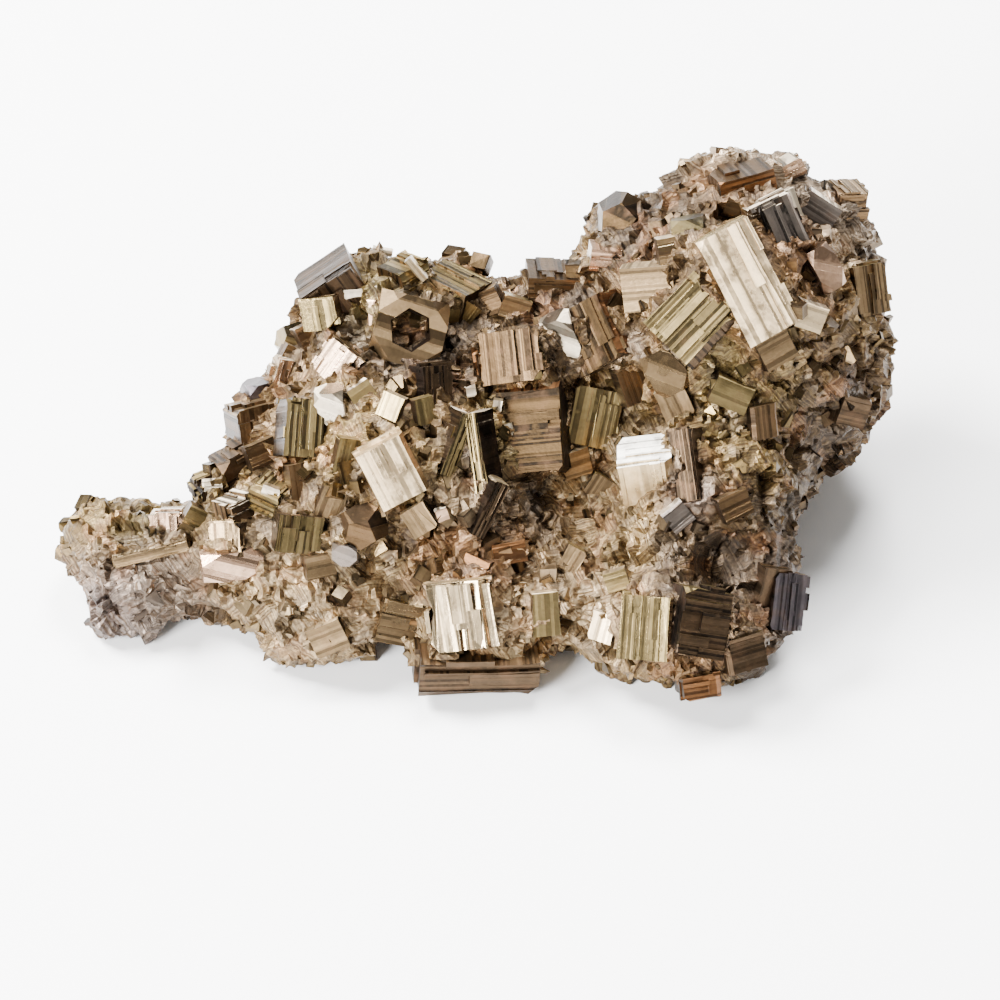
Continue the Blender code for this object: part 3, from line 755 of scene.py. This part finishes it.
# One stretch of the crust: where it lies, in millimetres, how big its grains are, how far apart, and
# which of the forms it favours.
DRUSE = {
    "druse_tongue": (((-37, -8, 7), (-30, -8, 8)), (0.5, 1.7), 0.60, ("blade", "chip")),
    "druse_shoulder": (((-21, -8, 10), (-20, 2, 16)), (0.6, 2.1), 0.85, ("cube", "chip")),
    "druse_crown": (((-10, 8, 24), (-14, 14, 20)), (0.6, 2.2), 0.85, ("cube", "dodeca")),
    "druse_middle": (((-8, -8, 12), (2, 0, 18)), (0.6, 2.1), 0.82, ("cube", "chip")),
    "druse_saddle": (((6, 10, 22), (4, 18, 18)), (0.6, 2.2), 0.85, ("cube", "dodeca")),
    "druse_front": (((-14, -17, 4), (2, -18, 4)), (0.5, 1.8), 0.80, ("chip", "cube")),
    "druse_foot": (((16, -14, 10), (24, -12, 8)), (0.4, 1.4), 0.55, ("chip", "blade")),
    "druse_dome": (((22, 10, 30), (28, 4, 24)), (0.5, 1.9), 0.82, ("cube", "chip")),
    "druse_crest": (((30, 22, 30), (24, 24, 28)), (0.5, 1.7), 0.76, ("chip", "cube")),
    "druse_flank": (((38, 10, 18), (34, 2, 10)), (0.5, 1.6), 0.78, ("chip", "cube")),
    "druse_back": (((-8, 20, 8), (20, 28, 10), (-30, 2, 4)), (0.8, 2.8), 1.05, ("chip", "cube")),
}
BARE = 0.2 * MM              # how near a crystal's face a grain may not grow
LOWEST = 0.02 * MM
FORMS_OF_EACH = 5
GRAIN_TRIES = 2200


def chip(rng):
    """A broken grain: a cube with its corners split off."""
    bm = plain_block((1, 1, 1), rng, warp=0.2)
    for _ in range(3):
        normal = Vector(rng.choice((-1, 1)) * rng.uniform(0.3, 1) for _ in range(3)).normalized()
        split_off(bm, normal, rng.uniform(0.28, 0.5), 1e-4)
    return bm


def dodeca(rng):
    """Pyrite's twelve-sided form."""
    bm = bmesh.new()
    bmesh.ops.create_cube(bm, size=1.0)
    for order in ((2, 1, 0), (1, 0, 2), (0, 2, 1)):
        for signs in range(8):
            normal = Vector(-value if signs >> axis & 1 else value for axis, value in enumerate(order))
            split_off(bm, normal.normalized(), 0.45, 1e-4)
    bmesh.ops.scale(bm, vec=(rng.uniform(0.8, 1.2), 1.0, rng.uniform(0.8, 1.2)), verts=bm.verts)
    return bm


GRAINS = {
    "cube": lambda rng: plain_block(Vector(rng.uniform(0.75, 1.2) for _ in range(3)), rng, warp=0.08),
    "blade": lambda rng: plain_block(
        (rng.uniform(0.25, 0.45), rng.uniform(1.4, 2.2), rng.uniform(0.5, 0.9)), rng, warp=0.1
    ),
    "chip": chip,
    "dodeca": dodeca,
}


def grain_mesh(kind, rng):
    bm = GRAINS[kind](rng)
    bmesh.ops.recalc_face_normals(bm, faces=bm.faces)
    shade_faces(bm, {"front": "white"}, True, rng)
    for face in bm.faces:
        for loop in face.loops:
            loop[bm.loops.layers.uv["ruled"]].uv *= MM * 1.2
    mesh = bpy.data.meshes.new(kind)
    bm.to_mesh(mesh)
    bm.free()
    return mesh


def finish_small(bm, name, finish):
    """Makes one piece of many small crystals. They end where the specimen rests on the ground."""
    for vert in bm.verts:
        vert.co.z = max(vert.co.z, LOWEST)
    piece = add_piece(bm, name, finish)
    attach(piece, "root")


rng = random.Random(7)
templates = {kind: [grain_mesh(kind, rng) for _ in range(FORMS_OF_EACH)] for kind in GRAINS}
stretches = {name: bmesh.new() for name in DRUSE}
homes = [(Vector(home) * MM, name) for name, stretch in DRUSE.items() for home in stretch[0]]
weights = [area for _, _, area in skin_samples]
taken = set()
for centre, normal, _ in rng.choices(skin_samples, weights, k=GRAIN_TRIES):
    if centre.z < 0.5 * MM:
        continue
    name = min(homes, key=lambda home: (home[0] - centre).length_squared)[1]
    _, (low, high), spacing, favoured = DRUSE[name]
    near, facing, _, distance = crystal_surface.find_nearest(centre)
    inside = (centre - near).dot(facing) < 0
    if inside or distance < BARE:
        continue
    size = low + (high - low) * rng.random() ** 2.6
    size = min(size, low + distance / MM * 1.2)
    cell = tuple(int(value // (spacing * MM)) for value in centre)
    if cell in taken:
        continue
    taken.add(cell)
    kind = rng.choice(favoured) if rng.random() < 0.7 else rng.choice(tuple(GRAINS))
    turn = Matrix.Rotation(rng.uniform(0, 6.28), 4, "Z") @ Matrix.Rotation(rng.uniform(0, 3.14), 4, "X")
    lift = rng.uniform(-0.48, -0.12) * size * MM
    spot = Matrix.Translation(centre + normal * lift) @ turn @ Matrix.Rotation(rng.uniform(0, 6.28), 4, "Y")
    spot = spot @ Matrix.Scale(size * MM, 4)
    colour = ground_colour(centre) * rng.choice((0.5, 0.7, 0.85, 1.0, 1.1, 1.25, 1.5, 2.0))
    colour = colour.lerp(Vector((0.5, 0.33, 0.2)) * colour.length * 1.3, rng.random() ** 2 * 0.35)
    mesh = rng.choice(templates[kind])
    layer = mesh.attributes["tarnish_and_painted_light"].data
    layer.foreach_set("color", [*colour, 1.0] * len(layer))
    mesh.transform(spot)
    stretches[name].from_mesh(mesh)
    mesh.transform(spot.inverted())

FINISHES["druse"] = pyrite_finish("druse_grains", 0.34, 0.9, 0.35)
for name, bm in stretches.items():
    finish_small(bm, name, FINISHES["druse"])

# ---------------------------------------------------------------------------------------------------
# The companions: small crystals of pyrite, from one to five millimetres, that grew among the large ones.
# The thin white ones are painted highlights, glints that stand for edges of plates catching the light,
# and a few are dark brown.

SET_DEEP = 0.35 * MM         # how far out the middle of a small crystal is set, less a share of its depth
SET_BACK = 0.4
LEAN = 14                    # degrees that a small crystal leans back


def grow_companions(name, *rows):
    """Adds small blocks, each given by its place across and up, width, height, roll, yaw and two shades."""
    rng = random.Random(name)
    group = bmesh.new()
    for across, up, width, height, roll, yaw, front, top in rows:
        size = Vector((width, height, max(1.2, 0.6 * min(width, height)))) * MM
        small = ruled_block(size, {"front": front, "top": top, "side": "umber"}, width < height, rng, chips=2)
        turn = Matrix.Rotation(math.radians(roll), 4, "Z") @ Matrix.Rotation(math.radians(yaw), 4, "Y")
        turn = turn @ Matrix.Rotation(math.radians(LEAN), 4, "X")
        axes = Matrix(((1, 0, 0), UP, OUT)).transposed().to_4x4()
        centre = on_crystal_side(across, up) + OUT * (SET_DEEP - size.z * SET_BACK)
        bmesh.ops.transform(small, matrix=Matrix.Translation(centre) @ axes @ turn, verts=small.verts)
        append_solid(group, small)
    finish_small(group, name, FINISHES["companions"])


FINISHES["companions"] = pyrite_finish("companion_crystals", 0.36, 0.6, 0.5)
grow_companions(
    "crown_companions",
    (-10.7, 41.0, 3.2, 0.9, 8, 0, "white", "white"),
    (-8.8, 45.2, 2.0, 0.7, -10, 0, "white", "cream"),
    (-5.4, 43.2, 2.6, 0.8, -50, 10, "cream", "cream"),
    (-9.4, 38.4, 1.0, 3.8, -4, -30, "pink", "white"),
    (-2.0, 38.8, 3.4, 4.4, -32, 26, "olive", "tan"),
    (-15.8, 37.0, 2.6, 2.4, 30, 20, "brown", "tan"),
    (-17.6, 35.0, 2.2, 2.2, -20, 30, "tan", "cream"),
    (1.4, 40.2, 3.0, 2.6, 20, -20, "brown", "tan"),
    (4.0, 39.6, 2.8, 2.2, -16, 12, "tan", "straw"),
    (-10.6, 31.2, 2.4, 2.0, 34, 10, "straw", "white"),
    (-7.6, 30.0, 2.2, 2.4, -24, -14, "straw", "cream"),
    (-4.6, 29.6, 2.0, 2.6, 16, 20, "olive", "straw"),
)
grow_companions(
    "shoulder_companions",
    (-24.8, 22.6, 1.9, 1.0, 6, 0, "white", "white"),
    (-19.0, 22.0, 1.7, 0.9, -20, 0, "white", "cream"),
    (-16.4, 22.8, 2.4, 3.8, 14, 24, "brown", "tan"),
    (-13.4, 21.0, 2.6, 3.0, -18, 14, "tan", "straw"),
    (-20.2, 25.6, 3.0, 2.4, 24, 18, "brown", "tan"),
    (-12.0, 25.4, 2.2, 3.4, -8, 20, "olive", "straw"),
    (-2.9, 19.8, 1.2, 1.2, 20, 0, "pink", "white"),
    (-5.0, 19.4, 2.6, 2.8, 30, -12, "tan", "cream"),
    (-14.6, 15.0, 3.0, 2.4, 12, 22, "tan", "cream"),
    (-13.6, 8.2, 3.4, 3.0, 22, -10, "tan", "cream"),
    (-26.4, 19.6, 2.2, 2.0, -26, 20, "olive", "tan"),
)
grow_companions(
    "middle_companions",
    (-0.2, 31.5, 1.0, 1.0, 10, 0, "white", "white"),
    (2.3, 29.6, 0.9, 2.2, -8, 0, "white", "cream"),
    (3.4, 27.6, 0.8, 1.8, 14, 10, "white", "straw"),
    (3.4, 16.2, 3.2, 2.2, 12, 10, "rust", "tan"),
    (0.4, 14.8, 2.6, 2.0, -24, -16, "rust", "pink"),
    (9.6, 24.6, 3.0, 2.6, 18, 20, "tan", "cream"),
    (12.0, 22.0, 2.8, 3.2, -30, 10, "tan", "straw"),
    (6.8, 10.4, 2.6, 4.2, 6, 10, "straw", "cream"),
    (12.4, 9.2, 2.4, 2.8, -18, -12, "cream", "white"),
    (15.2, 32.2, 3.0, 3.6, 24, 16, "brown", "tan"),
)
grow_companions(
    "dome_companions",
    (16.8, 41.4, 5.0, 4.4, 4, -12, "tan", "cream"),
    (19.4, 45.0, 4.0, 2.6, 12, 8, "tan", "cream"),
    (33.0, 48.8, 3.8, 3.0, -32, 10, "grey", "white"),
    (30.6, 49.4, 0.9, 3.2, 26, 20, "white", "white"),
    (28.6, 35.4, 3.6, 3.0, 30, 12, "tan", "straw"),
    (31.8, 38.6, 3.0, 2.6, -18, 20, "cream", "white"),
    (24.4, 31.2, 3.8, 2.8, -22, 10, "olive", "straw"),
    (19.2, 30.6, 3.0, 3.2, 22, -14, "tan", "cream"),
    (27.4, 28.6, 2.8, 3.2, 12, 24, "brown", "tan"),
    (36.2, 29.8, 3.2, 3.0, -12, 30, "umber", "brown"),
)
grow_companions(
    "foot_companions",
    (19.3, 19.6, 2.4, 2.4, 40, 0, "grey", "white"),
    (25.4, 6.8, 4.0, 3.4, 16, 22, "umber", "olive"),
    (28.2, 13.0, 3.0, 3.8, -8, 26, "umber", "brown"),
    (24.6, 20.6, 3.0, 2.6, 26, 14, "brown", "tan"),
    (13.6, 13.6, 2.2, 2.0, 16, -8, "straw", "cream"),
    (9.4, 15.6, 2.0, 2.4, -28, 10, "tan", "straw"),
)

# ---------------------------------------------------------------------------------------------------
# The stage: a plain pale floor, soft light from behind on the left, and the camera, which looks down on
# the crystal side.

VIEW_TILT = 45.0             # degrees that the camera looks down
VIEW_WIDTH = 100.0 * MM      # how much the camera takes in, across
LENS = 200.0
SENSOR = 36.0
AIM = Vector((2.36, 9.91, -6.29)) * MM

bm = bmesh.new()
bmesh.ops.create_grid(bm, x_segments=1, y_segments=1, size=2.0)
pale = Finish("pale_floor")
pale.set(Base_Color=(0.86, 0.86, 0.86, 1.0), Roughness=0.9)
floor = add_piece(bm, "floor", pale.material)


def soft_light(name, position, size, power):
    light = bpy.data.lights.new(name, "AREA")
    light.size = size
    light.energy = power
    lamp = bpy.data.objects.new(name, light)
    lamp.location = position
    lamp.rotation_euler = (-Vector(position)).to_track_quat("-Z", "Y").to_euler()
    bpy.context.scene.collection.objects.link(lamp)


soft_light("key", (-0.40, 0.16, 0.46), 0.26, 30.0)
soft_light("top", (0.10, 0.30, 0.62), 0.24, 14.0)
soft_light("front", (-0.42, -0.46, 0.34), 0.26, 21.0)

world = bpy.data.worlds.new("studio")
bpy.context.scene.world = world
world.use_nodes = True
world.node_tree.nodes["Background"].inputs["Color"].default_value = (1.0, 0.98, 0.95, 1.0)
world.node_tree.nodes["Background"].inputs["Strength"].default_value = 0.62

view = bpy.data.cameras.new("view")
view.lens = LENS
view.sensor_width = SENSOR
view.clip_start = 0.01
camera = bpy.data.objects.new("view", view)
bpy.context.scene.collection.objects.link(camera)
tilt = Matrix.Rotation(math.radians(90.0 - VIEW_TILT), 4, "X")
camera.matrix_world = Matrix.Translation(AIM) @ tilt @ Matrix.Translation((0, 0, VIEW_WIDTH * LENS / SENSOR))
bpy.context.scene.camera = camera
